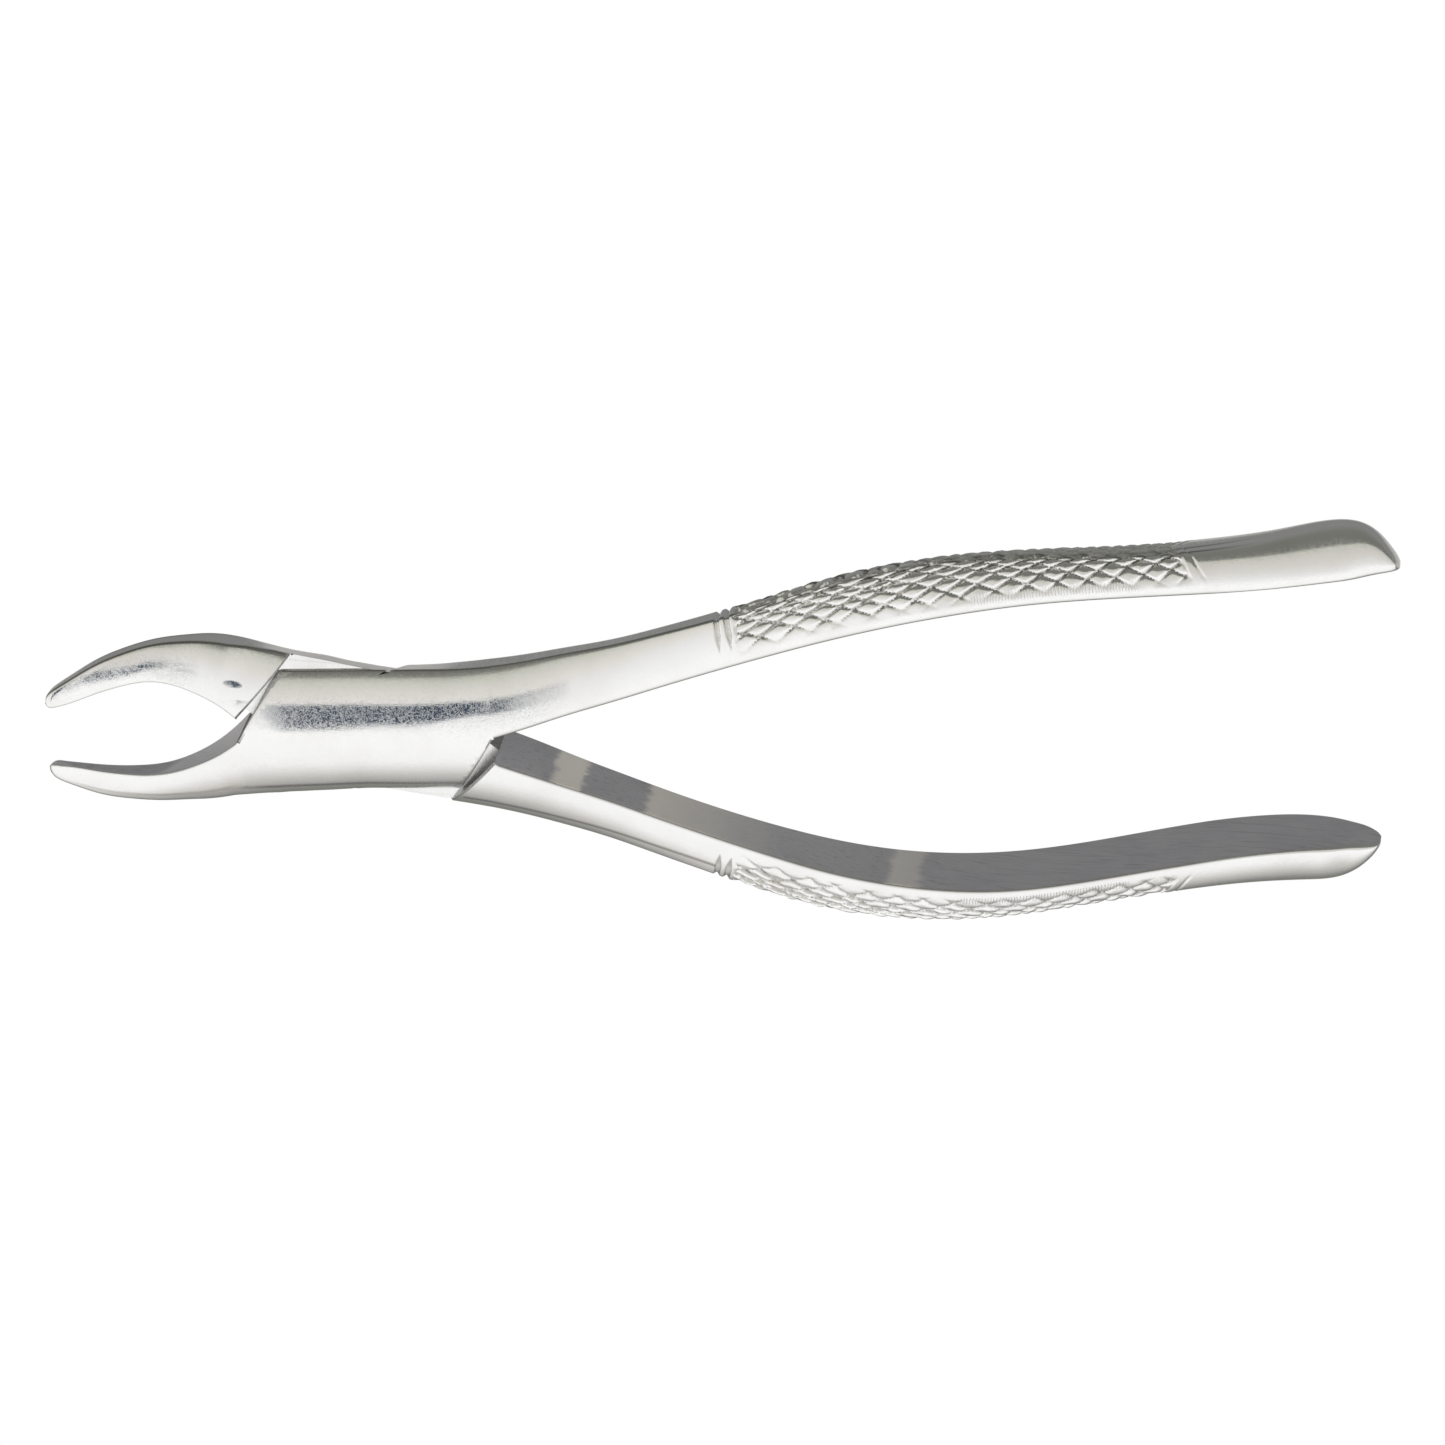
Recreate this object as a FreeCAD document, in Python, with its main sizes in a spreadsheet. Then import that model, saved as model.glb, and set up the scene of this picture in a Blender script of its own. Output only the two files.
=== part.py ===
import FreeCAD, Part
import math
import os
import Sketcher
from FreeCAD import Placement, Rotation, Vector

# Dental extraction forceps, American pattern, universal upper beaks: two arms crossing in
# a lap joint and the pivot screw that joins them.
# Frame: origin on the pivot axis at the mating plane of the lap joint, +X along the
# handles, -X along the beaks, +Y the side of the front arm's handle, +Z the pivot axis
# towards the front face.  Each arm is drawn closed in its own body, then turned about the
# pivot by the resting angle.

JOINT = (
    ("rest_angle", 5.8),          # each arm is open by this much at rest
    # lens-section blank of the lap joint
    ("lap_halfwidth", 7.85),
    ("lap_halflength", 16.8),
    ("crest_front", 3.75),        # crest of the front face above the mating plane
    ("crest_rear", 5.45),         # crest of the rear face below it
    ("wall_front", 1.30),         # straight side wall above the mating plane
    ("wall_rear", 3.20),          # and below it
    # shoulders: lines tangent to a circle about the pivot, at an angle to X
    ("shoulder_distance", 14.0),
    ("shoulder_angle", 57.0),
    ("rear_shoulder_distance", 9.1),
    ("rear_shoulder_angle", 33.0),
    # clearance of each arm from the nominal shoulder and the mating plane
    ("shoulder_gap", 0.05),
    ("lap_gap", 0.025),
    # extent of the cuts, beyond the blank
    ("tool_depth", 9.0),
    ("tool_reach", 17.6),
    ("tool_rise", 10.5),
    # pivot screw and its holes
    ("shank_radius", 2.30),
    ("bore_radius", 2.35),
    ("thread_radius", 2.00),
    ("thread_length", 2.45),
    ("head_radius", 3.70),
    ("head_bore_radius", 3.75),
    ("head_face", 5.15),          # outer face of the head below the mating plane
    ("head_seat", 3.45),          # underside of the head below it
    ("head_bore_floor", 3.40),
    ("head_chamfer", 0.25),
    ("slot_width", 1.00),
    ("slot_depth", 0.75),
    ("slot_length", 9.0),
)

# Columns of the two station tables, one forging section per row:
#   along    distance from the pivot along X
#   inset    inner flat from the centre plane
#   depth    inner flat to side wall
#   width    width of the inner flat, along Z
#   centre   height of the flat's middle
#   drop     front edge of the flat down to the top of the side wall
#   wall     height of the side wall
#   setback  rear edge of the inner face away from the centre plane (beak only)
FIELDS = ("along", "inset", "depth", "width", "centre", "drop", "wall", "setback")

HANDLE = (
    (16.8, 0.06, 7.85, 9.20, -0.85, 2.45, 4.50),
    (21, 1.13, 7.50, 8.69, -1.50, 2.31, 4.15),
    (26, 2.46, 6.98, 8.00, -1.89, 2.05, 3.75),
    (32, 3.96, 6.55, 7.42, -2.31, 1.70, 3.37),
    (38, 5.56, 6.38, 7.22, -2.80, 1.42, 3.19),
    (45, 7.37, 6.35, 7.23, -3.50, 1.24, 3.06),
    (52, 9.06, 6.59, 7.55, -4.36, 1.38, 2.84),
    (60, 10.76, 6.91, 8.23, -5.59, 1.96, 2.40),
    (68, 11.92, 6.78, 8.88, -7.23, 2.60, 1.82),
    (76, 12.46, 6.30, 9.59, -9.40, 2.85, 1.28),
    (84, 12.30, 5.63, 10.19, -12.09, 2.61, 0.95),
    (92, 11.36, 5.17, 10.38, -15.15, 2.13, 0.89),
    (100, 10.05, 5.09, 10.54, -18.36, 1.86, 1.05),
    (108, 8.76, 5.35, 10.68, -21.47, 2.15, 1.35),
    (115, 7.82, 5.97, 10.40, -23.87, 2.78, 1.54),
    (121, 7.29, 6.60, 9.47, -25.50, 3.38, 1.47),
    (123.6, 7.15, 6.55, 8.60, -25.95, 3.20, 1.30),
    (125.8, 7.10, 5.87, 7.30, -26.30, 2.45, 1.05),
    (127.3, 7.10, 4.65, 6.40, -26.45, 1.75, 0.90),
    (128.6, 7.10, 2.90, 5.10, -26.35, 1.00, 0.75),
    (129.4, 7.10, 1.50, 3.70, -26.20, 0.60, 0.55),
    (129.8, 7.10, 0.70, 2.40, -26.10, 0.35, 0.40),
)
BEAK = (
    (16.8, 0.06, 7.85, 9.20, -0.85, 2.45, 4.50, 0.00),
    (19, 1.49, 7.51, 8.92, -0.72, 2.29, 3.77, 0.60),
    (21.5, 2.66, 6.66, 8.22, -0.34, 2.08, 3.11, 1.15),
    (24.5, 3.61, 5.56, 7.07, 0.38, 1.78, 2.44, 1.38),
    (28, 3.94, 4.76, 5.77, 1.57, 1.43, 1.97, 1.39),
    (31.5, 3.17, 4.45, 4.79, 3.08, 1.12, 1.84, 1.42),
    (35, 1.84, 4.13, 3.94, 4.76, 0.84, 1.80, 1.40),
    (37.6, 0.70, 3.45, 3.28, 6.05, 0.66, 1.60, 1.25),
    (39.3, 0.16, 2.70, 2.75, 6.85, 0.52, 1.35, 0.90),
    (40.1, 0.16, 1.95, 2.20, 7.18, 0.42, 1.00, 0.55),
    (40.5, 0.45, 1.00, 1.40, 7.34, 0.26, 0.62, 0.25),
)
STATIONS = {"handle": HANDLE, "beak": BEAK}

# The shoulders lean opposite ways on the two faces.  The key is the alias prefix.
FRONT_FACE, REAR_FACE = "", "rear_"
TILT = {FRONT_FACE: 1.0, REAR_FACE: -1.0}

# Sketcher's numbers for the points of a curve and for the sketch axes
START, END, CENTRE = 1, 2, 3
X_AXIS, Y_AXIS = -1, -2
ORIGIN = (X_AXIS, START)

os.makedirs("parts", exist_ok=True)
doc = FreeCAD.newDocument("forceps")
sheet = doc.addObject("Spreadsheet::Sheet", "dims")
sheet.Label = "dimensions"


# ---- driving dimensions ---------------------------------------------------------------
def station_alias(limb, field, index):
    return f"{limb}_{field}_{chr(ord('a') + index)}"


def fill_sheet():
    cells = list(JOINT)
    for limb, stations in STATIONS.items():
        for index, values in enumerate(stations):
            for field, value in zip(FIELDS, values):
                cells.append((station_alias(limb, field, index), value))
    for row, (alias, value) in enumerate(cells, 1):
        sheet.set(f"A{row}", alias)
        sheet.set(f"B{row}", repr(float(value)))
        sheet.setAlias(f"B{row}", alias)
    doc.recompute()


def dim(alias):
    return float(sheet.get(alias))


# ---- sketch helpers -------------------------------------------------------------------
def attach(body, name, role, turn=Rotation(), **offset):
    """Sketch on an origin plane, its offset along y or z given by expressions."""
    plane = next(item for item in body.Origin.OriginFeatures if item.Role == role)
    sketch = body.newObject("Sketcher::SketchObject", name)
    sketch.AttachmentSupport = [(plane, "")]
    sketch.MapMode = "FlatFace"
    sketch.AttachmentOffset = Placement(Vector(0, 0, 0), turn)
    for axis, expression in offset.items():
        sketch.setExpression(f".AttachmentOffset.Base.{axis}", expression)
    return sketch


def constrain(sketch, *rules):
    for rule in rules:
        sketch.addConstraint(Sketcher.Constraint(*rule))


def hold(sketch, kind, place, value, expression):
    """Add a constraint with a value and tie it to the sheet."""
    index = sketch.addConstraint(Sketcher.Constraint(kind, *place, value))
    sketch.setExpression(f"Constraints[{index}]", expression)


def span(sketch, axis, low, high, alias, divisor=1):
    """Hold the distance along X or Y from point low to point high."""
    expression = f"dims.{alias}" + (f" / {divisor}" if divisor != 1 else "")
    hold(sketch, "Distance" + axis, (*low, *high), dim(alias) / divisor, expression)


def polygon(sketch, points):
    """Closed polygon; returns the index of its first side."""
    first = len(sketch.Geometry)
    count = len(points)
    for i in range(count):
        start, end = points[i], points[(i + 1) % count]
        sketch.addGeometry(Part.LineSegment(Vector(*start, 0), Vector(*end, 0)), False)
    for i in range(count):
        constrain(sketch, ("Coincident", first + i, END, first + (i + 1) % count, START))
    return first


def pocket(body, name, sketch, depth, reverse=False, symmetric=False, least=1):
    """Cut a sketch by the depth expression; it must remove at least this volume.
    The cut runs towards -Z, or towards +Z when reversed."""
    doc.recompute()
    before = body.Shape.Volume
    feature = body.newObject("PartDesign::Pocket", name)
    feature.Profile = sketch
    feature.Type = "Length"
    feature.setExpression("Length", depth)
    feature.Reversed = reverse
    if symmetric:
        feature.SideType = "Symmetric"
    body.Tip = feature
    doc.recompute()
    if not body.Shape.Volume < before - least:
        raise RuntimeError(name + " cut too little")


# ---- handles and beaks ----------------------------------------------------------------
def tangent_arc(start, end, crown):
    """Arc through both points, level at start.  crown is +1 when it falls away from
    start, -1 when it rises."""
    run, rise = end.x - start.x, abs(end.y - start.y)
    radius = (run * run + rise * rise) / (2 * rise)
    centre = Vector(start.x, start.y - crown * radius, 0)
    start_angle = math.atan2(start.y - centre.y, start.x - centre.x)
    end_angle = math.atan2(end.y - centre.y, end.x - centre.x)
    if crown > 0:
        start_angle, end_angle = end_angle, start_angle
    circle = Part.Circle(centre, Vector(0, 0, 1), radius)
    return Part.ArcOfCircle(circle, start_angle, end_angle)


def section(body, name, limb, index, side, direction):
    """One forging section: inner flat, front arc, side wall, rear arc.
    side is the limb's side of the centre plane (+1 is +Y), direction +1 for handles
    (+X) and -1 for beaks (-X)."""
    alias = {field: station_alias(limb, field, index)
             for field in FIELDS[:len(STATIONS[limb][index])]}
    size = {field: dim(cell) for field, cell in alias.items()}
    sketch = attach(
        body, name, "YZ_Plane",
        turn=Rotation() if side > 0 else Rotation(Vector(0, 1, 0), 180),
        z=("" if direction > 0 else "-") + "dims." + alias["along"],
        y="dims." + alias["centre"],
    )

    half = size["width"] / 2
    rear_fields = [field for field in ("inset", "setback") if field in size]
    rear_inset = sum(size[field] for field in rear_fields)
    wall_place = size["inset"] + size["depth"]
    wall_top = half - size["drop"]
    rear_edge = Vector(rear_inset, -half, 0)
    front_edge = Vector(size["inset"], half, 0)
    top = Vector(wall_place, wall_top, 0)
    bottom = Vector(wall_place, wall_top - size["wall"], 0)

    flat, front_arc, wall, rear_arc = range(4)
    sketch.addGeometry(Part.LineSegment(rear_edge, front_edge), False)
    sketch.addGeometry(tangent_arc(front_edge, top, 1), False)
    sketch.addGeometry(Part.LineSegment(top, bottom), False)
    sketch.addGeometry(tangent_arc(rear_edge, bottom, -1), False)
    constrain(
        sketch,
        ("Coincident", flat, END, front_arc, END),
        ("Coincident", front_arc, START, wall, START),
        ("Coincident", wall, END, rear_arc, END),
        ("Coincident", rear_arc, START, flat, START),
        ("Vertical", front_arc, CENTRE, flat, END),
        ("Vertical", rear_arc, CENTRE, flat, START),
        ("Vertical", wall),
    )
    span(sketch, "X", ORIGIN, (flat, END), alias["inset"])
    hold(sketch, "DistanceX", (*ORIGIN, flat, START), rear_inset,
         " + ".join("dims." + alias[field] for field in rear_fields))
    span(sketch, "Y", ORIGIN, (flat, END), alias["width"], 2)
    span(sketch, "Y", (flat, START), ORIGIN, alias["width"], 2)
    span(sketch, "X", (flat, END), (wall, START), alias["depth"])
    span(sketch, "Y", (wall, START), (flat, END), alias["drop"])
    span(sketch, "Y", (wall, END), (wall, START), alias["wall"])
    return sketch


def loft(body, limb, side, direction):
    name = f"{body.Name}_{limb}"
    sketches = [
        section(body, f"{name}_section_{chr(ord('a') + i)}", limb, i, side, direction)
        for i in range(len(STATIONS[limb]))
    ]
    doc.recompute()
    feature = body.newObject("PartDesign::AdditiveLoft", name)
    feature.Profile = sketches[0]
    feature.Sections = sketches[1:]
    feature.Ruled = False
    feature.Closed = False
    body.Tip = feature
    doc.recompute()


# ---- lap joint ------------------------------------------------------------------------
def joint_blank(body):
    """Lens-section blank of the lap joint, symmetric about the pivot along X."""
    name = body.Name + "_joint"
    sketch = attach(body, name + "_profile", "YZ_Plane")
    width = dim("lap_halfwidth")
    wall_front, wall_rear = dim("wall_front"), dim("wall_rear")

    def crown_radius(face):
        rise = dim("crest_" + face) - dim("wall_" + face)
        return (width * width + rise * rise) / (2 * rise)

    def crown(face, sign):
        radius = crown_radius(face)
        centre = Vector(0, sign * (dim("crest_" + face) - radius), 0)
        half = math.asin(width / radius)
        middle = sign * math.pi / 2
        circle = Part.Circle(centre, Vector(0, 0, 1), radius)
        return Part.ArcOfCircle(circle, middle - half, middle + half)

    def wall(y, top, bottom):
        return Part.LineSegment(Vector(y, top, 0), Vector(y, bottom, 0))

    front_crown, right_wall, rear_crown, left_wall = range(4)
    sketch.addGeometry(crown("front", 1), False)
    sketch.addGeometry(wall(width, wall_front, -wall_rear), False)
    sketch.addGeometry(crown("rear", -1), False)
    sketch.addGeometry(wall(-width, -wall_rear, wall_front), False)
    constrain(
        sketch,
        ("Coincident", front_crown, START, right_wall, START),
        ("Coincident", right_wall, END, rear_crown, END),
        ("Coincident", rear_crown, START, left_wall, START),
        ("Coincident", left_wall, END, front_crown, END),
        ("Vertical", right_wall),
        ("Vertical", left_wall),
        ("Symmetric", right_wall, START, left_wall, END, Y_AXIS),
        ("PointOnObject", rear_crown, CENTRE, Y_AXIS),
    )
    span(sketch, "X", ORIGIN, (right_wall, START), "lap_halfwidth")
    span(sketch, "Y", ORIGIN, (right_wall, START), "wall_front")
    span(sketch, "Y", (right_wall, END), ORIGIN, "wall_rear")
    for curve, face in ((front_crown, "front"), (rear_crown, "rear")):
        rise = f"(dims.crest_{face} - dims.wall_{face})"
        hold(sketch, "Radius", (curve,), crown_radius(face),
             f"(dims.lap_halfwidth * dims.lap_halfwidth + {rise} * {rise}) / (2 * {rise})")
    doc.recompute()

    pad = body.newObject("PartDesign::Pad", name)
    pad.Profile = sketch
    pad.SideType = "Symmetric"
    pad.setExpression("Length", "2 * dims.lap_halflength")
    body.Tip = pad
    doc.recompute()


def shoulder_distance(face, gap_sign):
    return dim(face + "shoulder_distance") + gap_sign * dim("shoulder_gap")


def shoulder_x(face, gap_sign, end, y):
    """X at height y of a face's shoulder line; end is +1 for +X, -1 for -X."""
    angle = math.radians(dim(face + "shoulder_angle"))
    distance = shoulder_distance(face, gap_sign)
    return TILT[face] * y / math.tan(angle) + end * distance / math.sin(angle)


def hold_shoulder(sketch, line, face, gap_sign):
    """Hold a shoulder line at its distance from the pivot."""
    sign = "+" if gap_sign > 0 else "-"
    hold(sketch, "Distance", (*ORIGIN, line), shoulder_distance(face, gap_sign),
         f"dims.{face}shoulder_distance {sign} dims.shoulder_gap")


def cut_lap_strip(body, face):
    """Remove the half on the given face between that face's shoulders."""
    rear = face == REAR_FACE
    rise = dim("tool_rise")
    sketch = attach(body, body.Name + "_strip", "XY_Plane",
                    z="dims.lap_gap" if rear else "-dims.lap_gap")
    corners = ((-1, -rise), (1, -rise), (1, rise), (-1, rise))
    polygon(sketch, [(shoulder_x(face, 1, end, y), y) for end, y in corners])
    bottom, right_shoulder, top, left_shoulder = range(4)
    constrain(
        sketch,
        ("Horizontal", bottom),
        ("Horizontal", top),
        ("Parallel", right_shoulder, left_shoulder),
    )
    span(sketch, "Y", (bottom, START), ORIGIN, "tool_rise")
    span(sketch, "Y", ORIGIN, (top, START), "tool_rise")
    hold_shoulder(sketch, right_shoulder, face, 1)
    hold_shoulder(sketch, left_shoulder, face, 1)
    angle = math.radians(dim(face + "shoulder_angle"))
    hold(sketch, "Angle", (*ORIGIN, right_shoulder, START),
         math.pi - angle if rear else angle,
         ("180 deg - " if rear else "") + f"dims.{face}shoulder_angle * 1 deg")
    pocket(body, body.Name + "_lap_pocket", sketch, "dims.tool_depth",
           reverse=not rear, least=50)


def cut_corners(body, face):
    """Remove the corners beyond this arm's own shoulders, where the other arm is full
    thickness: across the centre plane from this arm's handle and from its beak."""
    reach, rise = dim("tool_reach"), dim("tool_rise")
    sketch = attach(body, body.Name + "_corners", "XY_Plane")
    for end in (-1.0, 1.0):
        y = -end * TILT[face] * rise
        shoulder = polygon(sketch, [
            (shoulder_x(face, -1, end, 0.0), 0.0),
            (shoulder_x(face, -1, end, y), y),
            (end * reach, y),
            (end * reach, 0.0),
        ])
        outer, end_side, base = shoulder + 1, shoulder + 2, shoulder + 3
        constrain(
            sketch,
            ("PointOnObject", shoulder, START, X_AXIS),
            ("PointOnObject", base, START, X_AXIS),
            ("Horizontal", outer),
            ("Vertical", end_side),
        )
        for axis, point, positive, alias in (
            ("X", (base, START), end > 0, "tool_reach"),
            ("Y", (outer, START), y > 0, "tool_rise"),
        ):
            low, high = (ORIGIN, point) if positive else (point, ORIGIN)
            span(sketch, axis, low, high, alias)
        hold_shoulder(sketch, shoulder, face, -1)
    pocket(body, body.Name + "_corner_pocket", sketch, "2 * dims.tool_depth",
           symmetric=True, least=5)


# ---- parts ----------------------------------------------------------------------------
def round_pocket(body, suffix, radius, depth, reverse=False, **offset):
    """Round pocket on the pivot axis."""
    name = f"{body.Name}_{suffix}"
    sketch = attach(body, name + "_circle", "XY_Plane", **offset)
    sketch.addGeometry(Part.Circle(Vector(0, 0, 0), Vector(0, 0, 1), dim(radius)), False)
    constrain(sketch, ("Coincident", 0, CENTRE, *ORIGIN))
    hold(sketch, "Radius", (0,), dim(radius), "dims." + radius)
    pocket(body, name, sketch, depth, reverse=reverse)


def arm(name, own_face, other_face, handle_side):
    """Arm that keeps the half of the lap on its own face."""
    body = doc.addObject("PartDesign::Body", name)
    joint_blank(body)
    cut_lap_strip(body, other_face)
    cut_corners(body, own_face)
    loft(body, "handle", handle_side, 1)
    loft(body, "beak", -handle_side, -1)
    return body


def front_arm():
    body = arm("front_arm", FRONT_FACE, REAR_FACE, 1)
    round_pocket(body, "thread_hole", "thread_radius",
                 "dims.thread_length + dims.lap_gap", reverse=True)
    return body


def rear_arm():
    body = arm("rear_arm", REAR_FACE, FRONT_FACE, -1)
    round_pocket(body, "bore", "bore_radius", "dims.tool_depth")
    round_pocket(body, "head_bore", "head_bore_radius", "dims.tool_depth",
                 z="-dims.head_bore_floor")
    return body


def turn_screw(body):
    """Turned blank: chamfered head at the rear, shank, then the thinner thread."""
    sketch = attach(body, "pivot_screw_profile", "XZ_Plane")
    head, shank, thread = dim("head_radius"), dim("shank_radius"), dim("thread_radius")
    chamfer = dim("head_chamfer")
    face, seat = -dim("head_face"), -dim("head_seat")
    step, top = dim("lap_gap"), dim("thread_length")
    polygon(sketch, [
        (0.0, face), (head - chamfer, face), (head, face + chamfer),
        (head, seat), (shank, seat),
        (shank, step), (thread, step),
        (thread, top), (0.0, top),
    ])
    (face_line, _, head_side, seat_line, shank_side,
     step_line, thread_side, top_line, axis_line) = range(9)
    constrain(
        sketch,
        ("Horizontal", face_line),
        ("Vertical", head_side),
        ("Horizontal", seat_line),
        ("Vertical", shank_side),
        ("Horizontal", step_line),
        ("Vertical", thread_side),
        ("Horizontal", top_line),
        ("PointOnObject", face_line, START, Y_AXIS),
        ("PointOnObject", axis_line, START, Y_AXIS),
    )
    for row in (
        ("X", ORIGIN, (head_side, START), "head_radius"),
        ("X", ORIGIN, (shank_side, START), "shank_radius"),
        ("X", ORIGIN, (thread_side, START), "thread_radius"),
        ("X", (face_line, END), (head_side, START), "head_chamfer"),
        ("Y", (face_line, END), (head_side, START), "head_chamfer"),
        ("Y", (face_line, END), ORIGIN, "head_face"),
        ("Y", (seat_line, START), ORIGIN, "head_seat"),
        ("Y", ORIGIN, (step_line, START), "lap_gap"),
        ("Y", ORIGIN, (top_line, START), "thread_length"),
    ):
        span(sketch, *row)
    doc.recompute()
    turned = body.newObject("PartDesign::Revolution", "pivot_screw_turned")
    turned.Profile = sketch
    turned.ReferenceAxis = (sketch, ["V_Axis"])
    turned.Angle = 360.0
    body.Tip = turned
    doc.recompute()


def cut_driver_slot(body):
    """Slot along X across the outer face of the head."""
    sketch = attach(body, "pivot_screw_slot_profile", "XY_Plane", z="-dims.head_face")
    x, y = dim("slot_length") / 2, dim("slot_width") / 2
    polygon(sketch, [(-x, -y), (x, -y), (x, y), (-x, y)])
    constrain(sketch, ("Horizontal", 0), ("Vertical", 1), ("Horizontal", 2), ("Vertical", 3))
    span(sketch, "X", (0, START), ORIGIN, "slot_length", 2)
    span(sketch, "X", ORIGIN, (1, START), "slot_length", 2)
    span(sketch, "Y", (0, START), ORIGIN, "slot_width", 2)
    span(sketch, "Y", ORIGIN, (2, START), "slot_width", 2)
    pocket(body, "pivot_screw_slot", sketch, "dims.slot_depth", reverse=True)


def pivot_screw():
    body = doc.addObject("PartDesign::Body", "pivot_screw")
    turn_screw(body)
    cut_driver_slot(body)
    return body


def rest(body, sign):
    """Turn a body about the pivot to its resting pose."""
    # the first placement sets the axis, the expression then drives only the angle
    body.Placement = Placement(
        Vector(0, 0, 0), Rotation(Vector(0, 0, 1), sign * dim("rest_angle"))
    )
    body.setExpression(".Placement.Rotation.Angle",
                       ("" if sign > 0 else "-") + "dims.rest_angle * 1 deg")


fill_sheet()
front = front_arm()
rear = rear_arm()
screw = pivot_screw()
rest(front, 1.0)
rest(screw, 1.0)    # the screw is threaded into the front arm and turns with it
rest(rear, -1.0)
doc.recompute()

# ---- checks, then export --------------------------------------------------------------
bad = [item.Name for item in doc.Objects if "Invalid" in item.State or "Error" in item.State]
if bad:
    raise RuntimeError(f"failed objects: {bad}")
bodies = (front, rear, screw)
for body in bodies:
    shape = body.Shape
    if shape.isNull() or not shape.isValid() or len(shape.Solids) != 1:
        raise RuntimeError(f"{body.Label}: null, invalid or not one solid")
for body in bodies:
    body.Shape.exportStep(f"parts/{body.Label}.step")
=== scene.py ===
import math
import bmesh
import bpy
import numpy as np
from mathutils import Matrix, Vector
from mathutils.bvhtree import BVHTree


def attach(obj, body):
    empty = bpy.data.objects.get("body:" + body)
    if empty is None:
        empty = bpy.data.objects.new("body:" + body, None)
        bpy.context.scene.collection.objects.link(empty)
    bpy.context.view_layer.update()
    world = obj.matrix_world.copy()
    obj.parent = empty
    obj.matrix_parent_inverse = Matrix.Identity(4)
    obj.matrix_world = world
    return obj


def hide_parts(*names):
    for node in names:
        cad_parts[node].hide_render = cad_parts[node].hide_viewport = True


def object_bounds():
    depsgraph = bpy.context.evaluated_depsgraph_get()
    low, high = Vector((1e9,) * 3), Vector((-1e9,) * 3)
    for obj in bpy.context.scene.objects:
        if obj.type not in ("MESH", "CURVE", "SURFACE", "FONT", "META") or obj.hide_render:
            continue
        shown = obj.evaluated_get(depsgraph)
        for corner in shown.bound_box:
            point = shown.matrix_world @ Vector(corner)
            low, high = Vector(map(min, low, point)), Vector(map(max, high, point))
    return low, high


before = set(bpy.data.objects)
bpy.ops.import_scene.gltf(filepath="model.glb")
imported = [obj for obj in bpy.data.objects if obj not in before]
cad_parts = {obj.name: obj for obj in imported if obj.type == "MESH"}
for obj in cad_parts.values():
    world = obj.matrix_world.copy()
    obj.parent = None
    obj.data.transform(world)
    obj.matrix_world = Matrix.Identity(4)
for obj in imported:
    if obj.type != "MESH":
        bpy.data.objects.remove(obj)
cad_lo, cad_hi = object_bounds()

# Each arm is drawn in millimetres in its closed position (inner flats near y = 0), with
# its handle on +y and its beak on -y.  The rear arm is the same drawing mirrored in y.
# A last step turns each arm by its resting angle and scales it to metres.
REST_ANGLE = math.radians(5.8)
MM = 0.001
JOINT_END = 16.8            # the joint reaches this far from the pivot, both ways in x

# Shoulder lines of the lap: distance from the pivot and angle
FRONT_SHOULDER = (14.0, math.radians(57.0))
REAR_SHOULDER = (9.1, math.radians(33.0))
LAP_GAP = 0.05              # clearance at each shoulder
LAP_FACE = 0.025            # height of each lap face off z = 0
CUT_REACH = 9.0             # cutters reach this far in z

CROWN_POINTS = 45, 260      # placeholder order: see below
CROWN_POINTS = 260          # points on each half of the crown
PART_A, PART_B = 112, 44    # points of a finished ring on its first and second part
RING = PART_A + PART_B

# Material slots of the arms
POLISHED, SATIN, LAPPED, MILLED_AND_SHADE = range(4)

# ---- section stations -----------------------------------------------------------------
# x, inner-flat distance, depth, flat width, centre height, front drop, wall height
HANDLE_STATIONS = np.array([
    (16.8, 0.06, 7.85, 9.20, -0.85, 2.45, 4.50),
    (21, 1.13, 7.50, 8.69, -1.50, 2.31, 4.15),
    (26, 2.46, 6.98, 8.00, -1.89, 2.05, 3.75),
    (32, 3.96, 6.55, 7.42, -2.31, 1.70, 3.37),
    (38, 5.56, 6.38, 7.22, -2.80, 1.42, 3.19),
    (45, 7.37, 6.35, 7.23, -3.50, 1.24, 3.06),
    (52, 9.06, 6.59, 7.55, -4.36, 1.38, 2.84),
    (60, 10.76, 6.91, 8.23, -5.59, 1.96, 2.40),
    (68, 11.92, 6.78, 8.88, -7.23, 2.60, 1.82),
    (76, 12.46, 6.30, 9.59, -9.40, 2.85, 1.28),
    (84, 12.30, 5.63, 10.19, -12.09, 2.61, 0.95),
    (92, 11.36, 5.17, 10.38, -15.15, 2.13, 0.89),
    (100, 10.05, 5.09, 10.54, -18.36, 1.86, 1.05),
    (108, 8.76, 5.35, 10.68, -21.47, 2.15, 1.35),
    (115, 7.82, 5.97, 10.40, -23.87, 2.78, 1.54),
    (121, 7.29, 6.60, 9.47, -25.50, 3.38, 1.47),
    (123.6, 7.15, 6.55, 8.60, -25.95, 3.20, 1.30),
    (125.8, 7.10, 5.87, 7.30, -26.30, 2.45, 1.05),
    (127.3, 7.10, 4.65, 6.40, -26.45, 1.75, 0.90),
    (128.6, 7.10, 2.90, 5.10, -26.35, 1.00, 0.75),
    (129.4, 7.10, 1.50, 3.70, -26.20, 0.60, 0.55),
    (129.72, 7.10, 0.75, 2.50, -26.10, 0.35, 0.40),
])
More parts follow.
